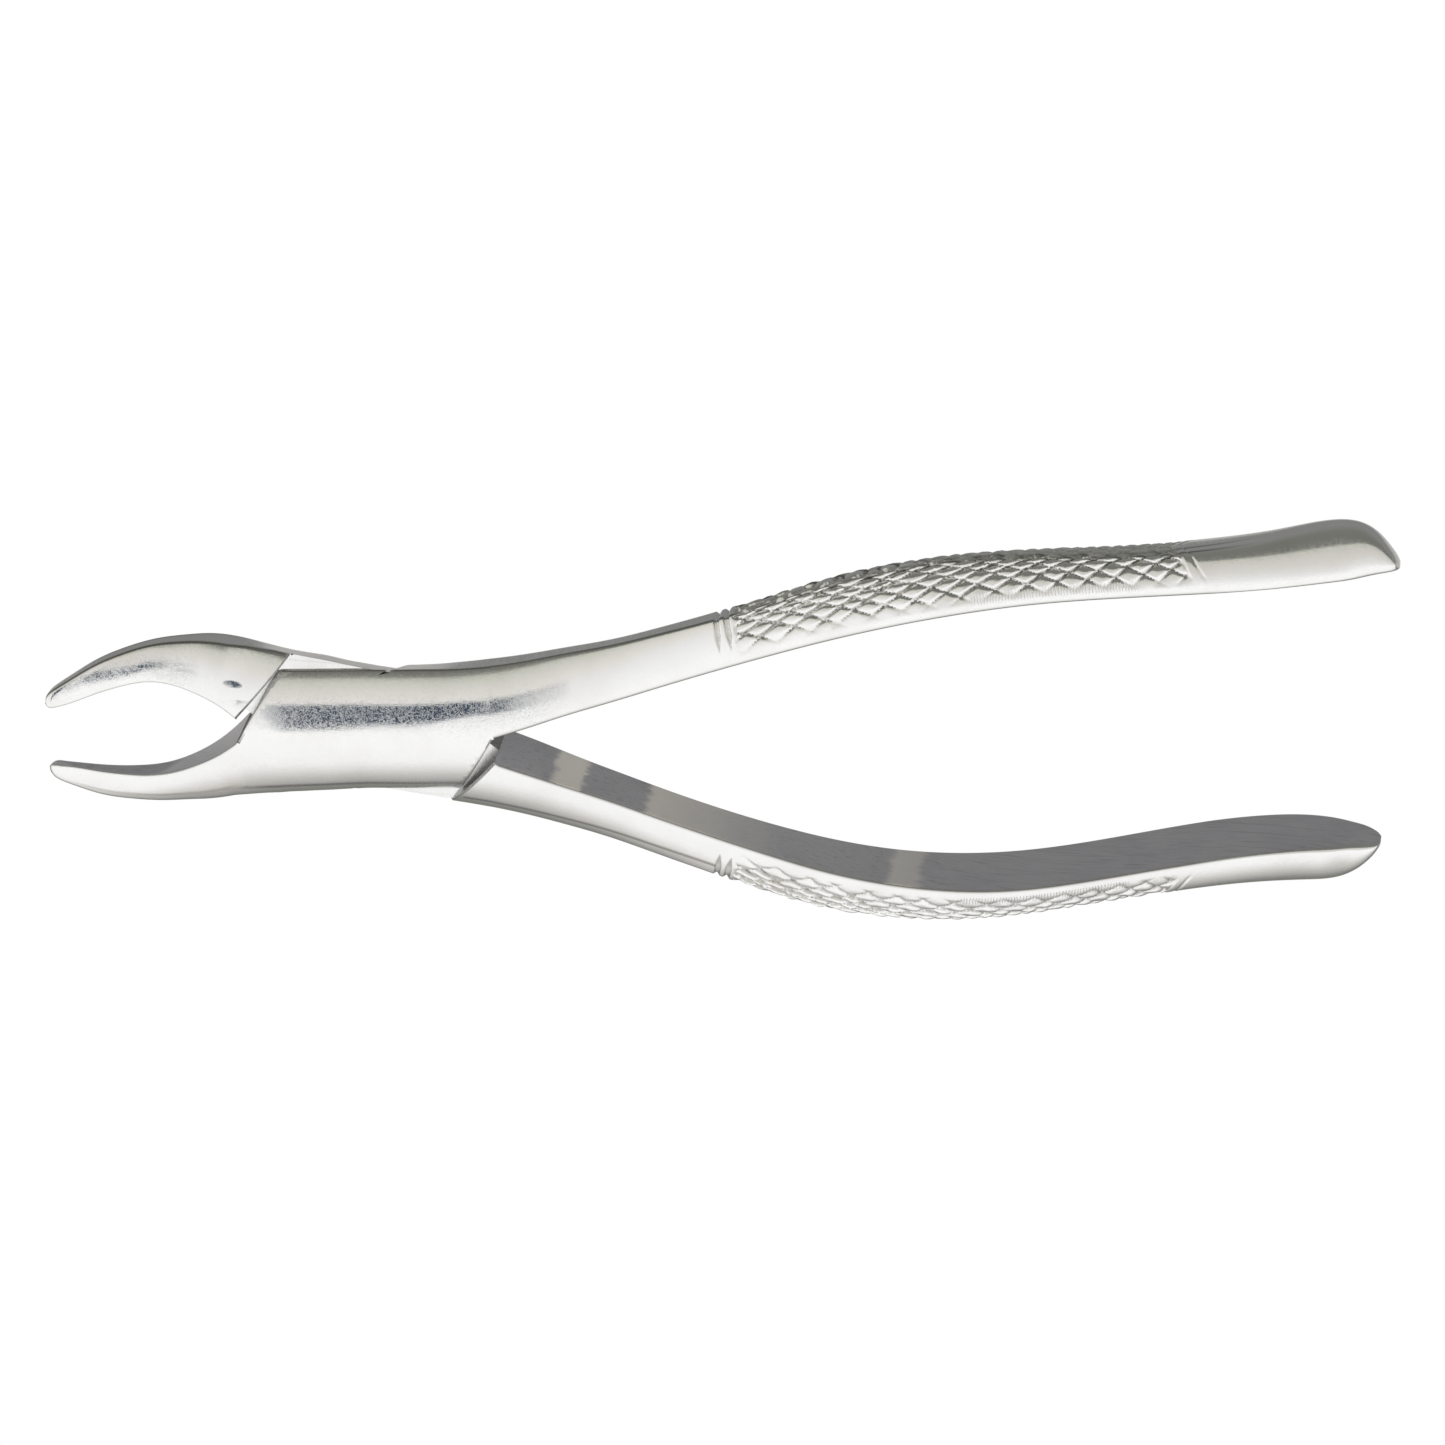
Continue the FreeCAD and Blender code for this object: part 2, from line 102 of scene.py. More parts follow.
# The same with x and y measured towards the tip, and last how far the flat's rear edge
# lies outside its front edge
BEAK_STATIONS = np.array([
    (16.8, 0.06, 7.85, 9.20, -0.85, 2.45, 4.50, 0.00),
    (19, 1.49, 7.51, 8.92, -0.72, 2.29, 3.77, 0.60),
    (21.5, 2.66, 6.66, 8.22, -0.34, 2.08, 3.11, 1.15),
    (24.5, 3.61, 5.56, 7.07, 0.38, 1.78, 2.44, 1.38),
    (28, 3.94, 4.76, 5.77, 1.57, 1.43, 1.97, 1.39),
    (31.5, 3.17, 4.45, 4.79, 3.08, 1.12, 1.84, 1.42),
    (35, 1.84, 4.13, 3.94, 4.76, 0.84, 1.80, 1.40),
    (37.6, 0.70, 3.45, 3.28, 6.05, 0.66, 1.60, 1.25),
    (39.3, 0.16, 2.70, 2.75, 6.85, 0.52, 1.35, 0.90),
    (40.1, 0.16, 1.95, 2.20, 7.18, 0.42, 1.00, 0.55),
    (40.45, 0.45, 1.05, 1.45, 7.34, 0.26, 0.62, 0.25),
])
# The joint's own section: width, crest and foot heights, drop of the crown's two edges
JOINT_SECTION = dict(outer=7.85, top=3.75, low=-5.45, drop=2.45, rear=2.25)

# Radius that rounds the outline's corners, against x
CORNER_ROUND = ([-41, -38, -17, 17, 50, 108, 122, 127, 130],
                [0.16, 0.19, 0.20, 0.22, 0.24, 0.32, 0.70, 0.80, 0.6])


def smooth(start, end, x):
    t = np.clip((np.asarray(x, float) - start) / (end - start), 0.0, 1.0)
    return t * t * (3 - 2 * t)


def spline(xs, ys):
    """Natural cubic spline through the knots, held at its end values outside."""
    xs, ys = np.asarray(xs, float), np.asarray(ys, float)
    count, step = len(xs), np.diff(xs)
    matrix, right_side = np.zeros((count, count)), np.zeros(count)
    matrix[0, 0] = matrix[-1, -1] = 1.0
    for i in range(1, count - 1):
        matrix[i, i - 1 : i + 2] = step[i - 1], 2 * (step[i - 1] + step[i]), step[i]
        right_side[i] = 6 * ((ys[i + 1] - ys[i]) / step[i] - (ys[i] - ys[i - 1]) / step[i - 1])
    bend = np.linalg.solve(matrix, right_side)

    def value(x):
        x = np.asarray(x, float)
        i = np.clip(np.searchsorted(xs, x) - 1, 0, count - 2)
        held = np.clip(x, xs[0], xs[-1])
        after, before = xs[i + 1] - held, held - xs[i]
        return (
            (bend[i] * after**3 + bend[i + 1] * before**3) / (6 * step[i])
            + (ys[i] / step[i] - bend[i] * step[i] / 6) * after
            + (ys[i + 1] / step[i] - bend[i + 1] * step[i] / 6) * before
        )

    return value


def distance_along(points):
    """Running length along a polyline."""
    return np.r_[0, np.cumsum(np.hypot(*np.diff(points, axis=0).T))]


class Limb:
    """Sections of the handle or the beak.  The splines run against the length along the
    outline, so the blunt end stays round; joint_knots carry the joint's section inward."""

    def __init__(self, stations, joint_knots, front_extra, rear_less, front_bow, rear_bow,
                 lag, dip=None):
        self.front_extra, self.rear_less = front_extra, rear_less
        self.front_bow, self.rear_bow = front_bow, rear_bow
        self.lag, self.dip = spline(*lag), dip and spline(*dip)
        # the first station belongs to the joint, and shapes only the inner flat
        x, inset, depth, width, centre, drop, wall = stations[1:, :7].T
        values = dict(outer=inset + depth, top=centre + width / 2, low=centre - width / 2,
                      drop=drop, rear=width - drop - wall)
        x = np.r_[joint_knots, x]
        for key, joint in JOINT_SECTION.items():
            values[key] = np.r_[np.full(len(joint_knots), joint), values[key]]
        steps = [np.diff(v) ** 2 for v in (x, values["outer"], values["top"])]
        length = np.r_[0, np.cumsum(np.sqrt(steps[0] + steps[1] + steps[2]))]
        self.x = spline(length, x)
        self.sections = {key: spline(length, v) for key, v in values.items()}
        self.inset = spline(stations[:, 0], stations[:, 1])
        back = stations[:, 7] if stations.shape[1] > 7 else np.zeros(len(stations))
        self.back = spline(stations[:, 0], back)
        self.end = length[-1]
        self.grid = np.linspace(0, self.end, 6000)
        self.grid_x = self.x(self.grid)

    def length_at(self, x):
        return float(np.interp(x, self.grid_x, self.grid))


# front_extra: x, extra width and extra drop of the crown's fuller front half
# rear_less: x, how far the rear half's edge stays inside
# front_bow, rear_bow: x, angle of arc that each half of the crown follows
# lag: x, how far the crest stays behind the inner flat as the flat moves outward
# dip: x, change in rise of the crown's front half
HANDLE = Limb(
    HANDLE_STATIONS, (-18.0, -12.0, -6.0, 0.0, 6.0, 10.0),
    front_extra=([-18, -9, 0, 4, 8, 12, 16.8, 26, 38, 50, 60],
                 [0.85, 0.85, 0.80, 0.70, 0.72, 0.65, 0.55, 0.46, 0.29, 0.09, 0.0],
                 [1.05, 1.05, 1.05, 1.05, 1.05, 1.0, 0.95, 0.80, 0.50, 0.15, 0.0]),
    rear_less=([-4, 2, 4, 6, 9, 12, 16], [0.0, 0.2, 0.35, 0.4, 0.3, 0.12, 0.0]),
    front_bow=([16.8, 30, 45, 60, 75, 131], [62, 60, 58, 64, 80, 86]),
    rear_bow=([16.8, 30, 60, 75, 131], [34, 50, 62, 80, 86]),
    lag=([16.8, 21, 26, 32, 38, 45, 51, 60], [0.06, 0.53, 0.76, 0.66, 0.44, 0.16, 0.0, 0.0]),
)
BEAK = Limb(
    BEAK_STATIONS, (-18.0, -12.0, -6.0, 0.0, 6.0, 12.0),
    front_extra=([-18, -5, 1, 4, 7, 10, 13, 16.8, 19, 21.5, 28, 36],
                 [1.0, 1.0, 0.85, 0.95, 1.15, 1.3, 1.3, 0.75, 0.30, 0.12, 0.05, 0.0],
                 [1.05, 1.05, 1.05, 1.05, 1.05, 1.0, 1.0, 0.90, 0.70, 0.50, 0.20, 0.0]),
    rear_less=([-8, -4, 0, 4, 7], [0.0, 0.2, 0.3, 0.28, 0.0]),
    front_bow=([16.8, 30, 42.5], [62, 70, 80]),
    rear_bow=([16.8, 30, 42.5], [34, 65, 80]),
    lag=([16.8, 19, 21.5, 24.5, 28, 31.5, 35, 40], [0.06, 1.14, 1.66, 1.58, 1.02, 0.30, 0.0, 0.0]),
    dip=([6, 10, 13, 16.8, 19, 21.5, 25, 29], [0.0, 0.0, -0.07, -0.27, -0.22, -0.10, 0.0, 0.0]),
)
DIP_START = 8               # no dip nearer the pivot than this


def crown_arc(start, behind, rise, bow, outer):
    """From the flat's edge, already past the crest, round to the widest line."""
    crest = start - behind
    first = math.asin(min(0.9, behind / (outer - crest)) * math.sin(bow)) / bow
    t = np.linspace(first, 1, CROWN_POINTS)
    across = np.sin(bow * t) / math.sin(bow)
    height = (np.cos(bow * t) - math.cos(bow)) / (1 - math.cos(bow))
    return crest + (outer - crest) * across, rise * height / height[0]


def crown_line(limb, length, flat):
    """Half outline from the front flat edge round the outside to the rear flat edge."""
    x = float(limb.x(length))
    outer, top, low, drop, rear = (
        float(limb.sections[key](length)) for key in ("outer", "top", "low", "drop", "rear"))
    drop, rear = max(0.05, drop), max(0.05, rear)
    inset = float(limb.inset(x)) if flat else 0.0
    back = float(limb.back(x)) if flat else 0.0
    lag = max(0.0, float(limb.lag(x))) if flat else 0.0
    dip = float(limb.dip(x)) if limb.dip and x >= DIP_START else 0.0

    xs, widths, drops = limb.front_extra
    wide, deep = float(np.interp(x, xs, widths)), float(np.interp(x, xs, drops))
    deep = min(deep, max(0.0, top - drop - low - rear - 0.4))
    thin = float(np.interp(x, *limb.rear_less))
    front_bow = math.radians(np.interp(x, *limb.front_bow))
    rear_bow = math.radians(np.interp(x, *limb.rear_bow))

    front_y, rise = crown_arc(inset, lag, drop + deep + dip, front_bow, outer + wide)
    front_z = top - drop - deep + rise
    rear_y, rise = crown_arc(inset + back, lag, rear, rear_bow, outer - thin)
    rear_y, rear_z = rear_y[::-1], (low + rear - rise)[::-1]
    if rear_z[0] > front_z[-1] - 0.05:
        middle = (rear_z[0] + front_z[-1]) / 2
        front_z = np.maximum(front_z, middle + 0.02)
        rear_z = np.minimum(rear_z, middle - 0.02)
    return x, np.r_[front_y, rear_y], np.r_[front_z, rear_z]


def resample(points, count, end_crowding=4.0, turn_crowding=1.3):
    """count points from the first to just before the last, closer together at both ends
    and wherever the outline turns quickly."""
    along = distance_along(points)
    length = along[-1]
    grid = np.linspace(0, length, 1500)
    y, z = np.interp(grid, along, points[:, 0]), np.interp(grid, along, points[:, 1])
    heading = np.unwrap(np.arctan2(np.gradient(z), np.gradient(y)))
    turn = np.abs(np.gradient(heading, grid))
    kernel = np.exp(-np.linspace(-2, 2, 61) ** 2)
    turn = np.convolve(np.minimum(turn, 6.0), kernel / kernel.sum(), mode="same")
    ends = np.exp(-((grid / 0.4) ** 2)) + np.exp(-(((length - grid) / 0.4) ** 2))
    weight = 1 + end_crowding * ends + turn_crowding * turn
    total = np.r_[0, np.cumsum((weight[1:] + weight[:-1]) / 2)]
    s = np.interp(np.linspace(0, total[-1], count + 1), total, grid)[:-1]
    return np.c_[np.interp(s, along, points[:, 0]), np.interp(s, along, points[:, 1])], s, length


def soften(closed, along, radius, spacing=0.04):
    """Round the corners of a closed outline with a Gaussian filter."""
    length = along[-1]
    count = int(length / spacing)
    s = np.linspace(0, length, count, endpoint=False)
    even = np.c_[np.interp(s, along, closed[:, 0]), np.interp(s, along, closed[:, 1])]
    frequency = np.fft.fftfreq(count, length / count)
    keep = np.exp(-2 * (math.pi * frequency * radius) ** 2)[:, None]
    soft = np.fft.ifft(np.fft.fft(even, axis=0) * keep, axis=0).real
    return np.vstack([soft, soft[:1]]), np.r_[s, length]


# ---- the grip's filed pattern ---------------------------------------------------------
# Two crossing sets of V grooves run round the outside of the grip.  Each set has the x
# of its grooves, and its shift in x against the distance round the crown.
GROOVES_A = np.array([42.9, 46.6, 50.2, 54.3, 58.3, 61.4, 65.7, 69.6, 72.9, 76.2, 80.0, 83.6,
                      87.3, 91.0, 94.4, 97.7, 100.6, 103.2, 106.0])     # x at 2 mm round
SHIFT_A = ([0, 1, 2, 3, 4, 5, 6, 7, 8.5], [-1.8, -0.9, 0, 1.0, 2.07, 3.25, 4.8, 6.4, 8.9])
# factor on the shift of set A, against x
SLANT_A = ([50, 60, 78, 87, 94, 98, 104], [1.62, 1.60, 1.54, 1.26, 1.07, 0.98, 0.93])
GROOVES_B = np.array([45.0, 49.4, 54.2, 57.9, 62.1, 65.6, 69.1, 73.4, 78.0, 82.4, 86.0, 89.5,
                      93.0, 96.8, 101.0, 104.6, 108.2])                 # x at 4 mm round
SHIFT_B = ([0, 1, 2, 3, 4, 5, 6, 7, 8.5], [-7.1, -5.4, -3.7, -1.9, 0, 2.3, 5.0, 7.7, 11.5])
# Ring grooves before the grip: x 4 mm round, lean, half width, depth
RING_GROOVES = ((46.32, 0.07, 0.42, 0.42), (47.72, 0.12, 0.44, 0.46))
# Lines closing the pattern at the far end: x 3 mm round, lean
END_LINES = ((104.0, -0.39), (105.5, -0.53))
GRIP_SPAN = (43.0, 109.0)


def turned(s, length, table):
    """Shift along the handle for a distance s round the crown, symmetric about its middle."""
    half = length / 2
    front = np.interp(np.minimum(s, length - s), *table)
    return np.where(s <= half, front, 2 * np.interp(half, *table) - front)


def phase(x, marks, pitch_before=3.6, pitch_after=3.4):
    """Runs 0, 1, 2 ... from groove to groove."""
    number = np.arange(len(marks), dtype=float)
    inside = np.interp(x, marks, number)
    inside = np.where(x < marks[0], (x - marks[0]) / pitch_before, inside)
    return np.where(x > marks[-1], number[-1] + (x - marks[-1]) / pitch_after, inside)


def vee(turns, pitch, depth, flank):
    """Depth of a V groove at whole phases, pointed where it runs out."""
    return np.maximum(0.0, depth - np.abs(turns - np.round(turns)) * pitch * flank)


def grip_cut(x, s, length):
    """How deep the grip is filed at x along and s round the crown, and the painted shade, also
    rougher, in its grooves.
    """
    side = np.minimum(s, length - s)
    shift = turned(s, length, SHIFT_A)
    start_x = x - 1.5 * shift
    for _ in range(4):
        start_x = x - np.interp(start_x, *SLANT_A) * shift
    turns_a = phase(start_x, GROOVES_A)
    turns_b = phase(x + turned(s, length, SHIFT_B), GROOVES_B)

    # where the pattern starts and stops, and how it fades towards the flat
    start = 48.25 + 0.10 * (4 - side)
    stop = 104.0 - 0.39 * (side - 3.0)
    along = smooth(0.0, 0.9, x - start) * smooth(0.0, 0.5, stop - x)
    fade = smooth(1.15, 2.6, side) * along
    reach = np.clip((side - 1.15) / 1.5, 0.0, 1.0) * along
    uneven = 0.85 + 0.15 * np.sin(turns_a * 2.1 + 0.7) * np.cos(turns_b * 1.7)
    vees = np.maximum(vee(turns_a, pitch=1.95, depth=0.30 * reach * uneven, flank=1.05),
                      vee(turns_b, pitch=1.75, depth=0.24 * reach * uneven, flank=1.0))

    # each lozenge leans: gentle on one side, steep towards the next groove
    part = turns_a - np.floor(turns_a)
    across_a = np.where(part < 0.66, part / 0.66, (1 - part) / 0.34)
    across_b = np.abs(turns_b - np.round(turns_b)) * 2
    lift = 1 + 1.4 * smooth(2.0, 5.0, side)
    vary = 0.8 + 0.3 * np.sin(np.floor(turns_a) * 5.1 + np.floor(turns_b) * 3.3)
    slope_a = 0.17 * lift * (1 - across_a) ** 1.2
    slope_b = 0.13 * (0.5 + 0.5 * lift) * (1 - across_b) ** 1.5
    cut = vees + fade * (slope_a + slope_b) * vary + 0.02 * fade

    for centre, lean, width, depth in RING_GROOVES:
        away = np.abs(x - (centre + lean * (4 - side)))
        cut = cut + np.maximum(0.0, depth * smooth(1.5, 4.8, side) - away * (depth / width))
    for centre, lean in END_LINES:
        away = np.abs(x - (centre + lean * (side - 3.0)))
        cut = cut + np.maximum(0.0, 0.17 * smooth(1.3, 2.6, side) - away * 0.75)

    # painted shade in the filed V grooves, also made rougher
    groove = 0.6 * np.clip((vees - 0.05) / 0.2, 0, 1)
    # band of short ticks beside the flat's front edge
    tick = smooth(1.0, 1.25, s) * smooth(2.5, 1.9, s) * smooth(76, 79, x) * smooth(99, 97, x)
    return cut, groove, tick


# ---- one arm as a closed ring mesh ----------------------------------------------------
# A ring is (region, x, part A, part B).  Part A is the crown, but the inner face on the
# beak; part B is the crown, but the inner flat on the handle.
def beak_rings():
    """Rings from the tip to the joint."""
    bend = BEAK.length_at(37.5)
    lengths = np.r_[np.linspace(BEAK.end, bend, 16)[:-1],
                    np.linspace(bend, BEAK.length_at(JOINT_END), 52)]
    t = np.linspace(0, 1, 60)
    rings = []
    for length in lengths:
        x, y, z = crown_line(BEAK, length, True)
        # the inner face has a shallow spoon hollow
        deep = 0.62 * smooth(39.6, 36.5, x) * smooth(25.0, 29.5, x)
        bowl = smooth(0.06, 0.40, t) * smooth(0.94, 0.60, t)
        face_y = y[0] + (y[-1] - y[0]) * t + deep * bowl
        face_z = z[0] + (z[-1] - z[0]) * t
        rings.append(("beak", -x, np.c_[-face_y, face_z], np.c_[-y[::-1], z[::-1]]))
    return rings


def meet(z, crest, foot):
    """Bend a crown's heights so that it starts at the crest and ends at the foot."""
    half = len(z) // 2
    front, rear = z[:half], z[half:]
    weight = np.linspace(1, 0, half)
    return np.r_[front + (crest - front[0]) * weight**2,
                 rear + (foot - rear[-1]) * weight[::-1] ** 2]


def joint_rings():
    """Full lens sections: the handle's crown on +y, the beak's on -y."""
    rings = []
    for x in np.linspace(-JOINT_END, JOINT_END, 47):
        _, y, z = crown_line(HANDLE, HANDLE.length_at(x), False)
        _, beak_y, beak_z = crown_line(BEAK, BEAK.length_at(-x), False)
        nearer = z if x > 0 else beak_z
        crest, foot = nearer[0], nearer[-1]
        z, beak_z = meet(z, crest, foot), meet(beak_z, crest, foot)
        rings.append(("joint", x, np.c_[y, z], np.c_[-beak_y[::-1], beak_z[::-1]]))
    return rings


def handle_rings():
    """Rings from the joint to the handle's end, closest together along the grip."""
    lengths = []
    for start, end, count in ((JOINT_END, 44.6, 42), (44.6, 48.8, 42), (48.8, 106.6, 300),
                              (106.6, 121.0, 34)):
        span = np.linspace(HANDLE.length_at(start), HANDLE.length_at(end), count + 1)
        lengths.append(span[:-1])
    lengths.append(np.linspace(HANDLE.length_at(121.0), HANDLE.end, 34))
    t = np.linspace(0, 1, 40)
    rings = []
    for length in np.concatenate(lengths):
        x, y, z = crown_line(HANDLE, length, True)
        flat = np.c_[y[-1] + (y[0] - y[-1]) * t, z[-1] + (z[0] - z[-1]) * t]
        rings.append(("handle", x, np.c_[y, z], flat))
    return rings


def shade_and_dull_line(x, crown, at, flat_edges, fine_side):
    """Lines of painted shade, also rougher, along the crown's creases and, if asked, the flat's
    two edges.  A finer line runs in the front half, before (-1) or after (1) the creases, or
    nowhere (0)."""
    along = distance_along(crown)
    marks = [along[len(crown) // 2 - 1], along[len(crown) // 2]]
    widths = [0.18, 0.18]
    fine = 0.0
    if fine_side:
        far = float(np.interp(x, [-38, -28, -17, 17, 46], [0.8, 1.4, 2.2, 2.4, 2.2]))
        place = marks[0] - far if fine_side < 0 else marks[1] + far
        fine = np.exp(-(((at - place) / (0.05 + 0.09 * far)) ** 2))
        fine = float(smooth(-39, -33, x)) * 0.9 * fine
    if flat_edges:
        marks += [0.0, along[-1]]
        widths += [0.27, 0.27]
    line = np.max([np.exp(-(((at - q) / w) ** 2)) for q, w in zip(marks, widths)], axis=0)
    return float(smooth(114, 104, x)) * np.maximum(line, fine)


def file_inward(points, cut):
    """Move points of a crown inward by the cut."""
    along = np.gradient(points, axis=0)
    normal = np.c_[-along[:, 1], along[:, 0]]
    normal /= np.linalg.norm(normal, axis=1)[:, None]
    if np.mean(((points - points.mean(0)) * normal).sum(1)) < 0:
        normal = -normal
    return points - normal * cut[:, None]


def finish_ring(ring, mirror):
    """The ring's points, softened, resampled and filed, and its groove and tick values."""
    region, x, a, b = ring
    closed = np.vstack([a, b[1:-1], a[:1]])
    along = distance_along(closed)
    split = along[len(a) - 1]
    soft, s = soften(closed, along, float(np.interp(x, *CORNER_ROUND)))
    k = int(np.searchsorted(s, split))
    corner = np.array([np.interp(split, s, soft[:, 0]), np.interp(split, s, soft[:, 1])])
    points_a, s_a, length_a = resample(np.vstack([soft[:k], corner]), PART_A)
    points_b, s_b, _ = resample(np.vstack([corner, soft[k:]]), PART_B)

    groove, tick = np.zeros(RING), np.zeros(RING)
    # the finer painted shade line is on the side that ends up on -y
    if region != "beak":
        fine_side = -1 if mirror and x < 46 else 0
        groove[:PART_A] = shade_and_dull_line(x, a, s_a, region == "handle", fine_side)
    if region != "handle":
        groove[PART_A:] = shade_and_dull_line(x, b, s_b, abs(x) > JOINT_END, 0 if mirror else 1)
    if region == "handle" and GRIP_SPAN[0] < x < GRIP_SPAN[1]:
        cut, groove_shade, tick[:PART_A] = grip_cut(x, s_a, length_a)
        points_a = file_inward(points_a, cut)
        groove[:PART_A] = np.maximum(groove[:PART_A], groove_shade)
    return np.c_[np.full(RING, x), np.vstack([points_a, points_b])], groove, tick


def ring_faces(count, mirror):
    """Quads between the rings, then a fan of triangles closing each end."""
    i = np.arange(count - 1)[:, None] * RING
    j = np.arange(RING)
    following = (j + 1) % RING
    quads = np.stack([i + j, i + following, i + RING + following, i + RING + j], -1)
    quads = quads.reshape(-1, 4)
    first, last = count * RING, count * RING + 1
    tip = np.c_[j, np.full(RING, first), following]
    end = np.c_[(count - 1) * RING + j, (count - 1) * RING + following, np.full(RING, last)]
    turn = 1 if mirror else -1
    return [face for part in (quads, tip, end) for face in part[:, ::turn].tolist()]


def new_object(name, data):
    ob = bpy.data.objects.new(name, data)
    bpy.context.scene.collection.objects.link(ob)
    return ob


def arm_object(name, mirror):
    rings = beak_rings() + joint_rings() + handle_rings()
    points, groove, tick = zip(*(finish_ring(ring, mirror) for ring in rings))
    # one centre point closes each end
    co = np.vstack([*points, points[0].mean(0), points[-1].mean(0)])
    if mirror:
        co[:, 1] *= -1
    xs = np.array([ring[1] for ring in rings])
    middle = (xs[:-1] + xs[1:]) / 2
    slots = np.full((len(rings) - 1, RING), POLISHED)
    slots[middle > JOINT_END, PART_A:] = SATIN
    slots[middle < -JOINT_END, :PART_A] = SATIN
    slots = np.r_[slots.ravel(), np.full(2 * RING, POLISHED)]

    mesh = bpy.data.meshes.new(name)
    mesh.from_pydata(co.tolist(), [], ring_faces(len(rings), mirror))
    mesh.polygons.foreach_set("material_index", slots.astype(np.int32))
    for key, values in (("groove", groove), ("tick", tick)):
        attribute = mesh.attributes.new(key, "FLOAT", "POINT")
        attribute.data.foreach_set("value", np.r_[np.concatenate(values), 0, 0].astype(np.float32))
    mesh.update()
    return new_object(name, mesh)


# ---- cutters --------------------------------------------------------------------------
def cutter(name, verts, faces, finish, wall_finish):
    """A closed tool; the finishes are the slots it leaves on level and upright faces."""
    mesh = bpy.data.meshes.new(name)
    mesh.from_pydata(verts, [], faces)
    bm = bmesh.new()
    bm.from_mesh(mesh)
    bmesh.ops.recalc_face_normals(bm, faces=bm.faces)
    bm.to_mesh(mesh)
    bm.free()
    ob = new_object(name, mesh)
    ob["finish"], ob["wall_finish"] = finish, wall_finish
    return ob


def prism(name, outline, bottom, top, wall_finish, mirror=False):
    outline = [(x, -y if mirror else y) for x, y in outline]
    n = len(outline)
    verts = [(x, y, z) for z in (bottom, top) for x, y in outline]
    faces = [tuple(range(n))[::-1], tuple(range(n, 2 * n))]
    faces += [(i, (i + 1) % n, n + (i + 1) % n, n + i) for i in range(n)]
    return cutter(name, verts, faces, LAPPED, wall_finish)


def round_cutter(name, radius, bottom, top, segments=96):
    angles = [2 * math.pi * i / segments for i in range(segments)]
    outline = [(radius * math.cos(a), radius * math.sin(a)) for a in angles]
    return prism(name, outline, bottom, top, LAPPED)


def cut_with(ob, cutters):
    for tool in cutters:
        for material in ob.data.materials:
            tool.data.materials.append(material)
        for face in tool.data.polygons:
            wall = abs(face.normal.z) < 0.5
            face.material_index = tool["wall_finish"] if wall else tool["finish"]
        mod = ob.modifiers.new("cut", "BOOLEAN")
        mod.operation = "DIFFERENCE"
        mod.object = tool
        mod.solver = "MANIFOLD"
    depsgraph = bpy.context.evaluated_depsgraph_get()
    depsgraph.update()
    mesh = bpy.data.meshes.new_from_object(ob.evaluated_get(depsgraph), depsgraph=depsgraph)
    ob.modifiers.clear()
    old = ob.data
    ob.data = mesh
    bpy.data.meshes.remove(old)
    for tool in cutters:
        bpy.data.objects.remove(tool)


def shoulder_line(shoulder, gap):
    """Where the line, moved out by gap, meets the x axis, and its run in x per y."""
    distance, angle = shoulder
    return (distance + gap) / math.sin(angle), 1 / math.tan(angle)


def lap_cutters(front):
    mirror = not front
    own, other = FRONT_SHOULDER, REAR_SHOULDER
    if not front:
        own, other = other, own
    rise, end = 10.5, 17.6      # reach of the cutters in y and x
    # a strip across the joint takes this arm's half of the depth away
    offset, slope = shoulder_line(other, LAP_GAP)
    run = rise * slope
    strip = [(run - offset, -rise), (run + offset, -rise),
             (-run + offset, rise), (-run - offset, rise)]
    heights = (-CUT_REACH, LAP_FACE) if front else (-LAP_FACE, CUT_REACH)
    # two corners beyond this arm's own shoulders go through the full depth
    offset, slope = shoulder_line(own, -LAP_GAP)
    corner = [(-offset, 0.0), (rise * slope - offset, rise), (-end, rise), (-end, 0.0)]
    opposite = [(-x, -y) for x, y in corner]
    tools = [prism("cut_strip", strip, *heights, MILLED_AND_SHADE, mirror),
             prism("cut_a", corner, -CUT_REACH, CUT_REACH, MILLED_AND_SHADE, mirror),
             prism("cut_b", opposite, -CUT_REACH, CUT_REACH, MILLED_AND_SHADE, mirror)]
    if front:
        tools.append(round_cutter("cut_thread", 2.0, -1.0, 2.475))
    else:
        tools.append(round_cutter("cut_bore", 2.35, -CUT_REACH, 1.0))
        tools.append(round_cutter("cut_head", 3.75, -CUT_REACH, -3.40))
    return tools


def chamfer_tool(name, tree, line, ys, out, size, face, mirror, finish):
    """A three-sided tool swept along the edge where a shoulder meets the front (face 1)
    or back (face -1) of the arm."""
    y_sign = -1.0 if mirror else 1.0
    out = Vector((out[0], y_sign * out[1], 0.0))
    up = Vector((0, 0, float(face)))
    heights = []
    for y in ys:
        probe = Vector((line(y), y_sign * y, 0)) - out * 0.04
        hit = tree.ray_cast(Vector((probe.x, probe.y, 30.0 * face)), -up)
        heights.append(None if hit[0] is None else hit[0].z)
    good = [(i, height) for i, height in enumerate(heights) if height is not None]
    if len(good) < 4:
        return None
    # beyond the arm's surface the heights carry on in a straight line
    for i, height in enumerate(heights):
        if height is None:
            (a, height_a), (b, height_b) = good[:2] if i < good[0][0] else good[-2:]
            heights[i] = height_a + (height_b - height_a) * (i - a) / (b - a)
    verts = []
    extra, clear = 0.2, 1.0     # overrun along the chamfer, reach outside the metal
    for y, height in zip(ys, heights):
        edge = Vector((line(y), y_sign * y, height))
        verts += [edge - out * (size + extra) + up * extra,
                  edge + out * extra - up * (size + extra),
                  edge + (out + up) * clear]
    n = len(ys)
    faces = [(0, 1, 2), (3 * n - 1, 3 * n - 2, 3 * n - 3)]
    for i in range(n - 1):
        for a, b in ((0, 1), (1, 2), (2, 0)):
            faces.append((3 * i + a, 3 * i + 3 + a, 3 * i + 3 + b, 3 * i + b))
    return cutter(name, [tuple(v) for v in verts], faces, finish, finish)


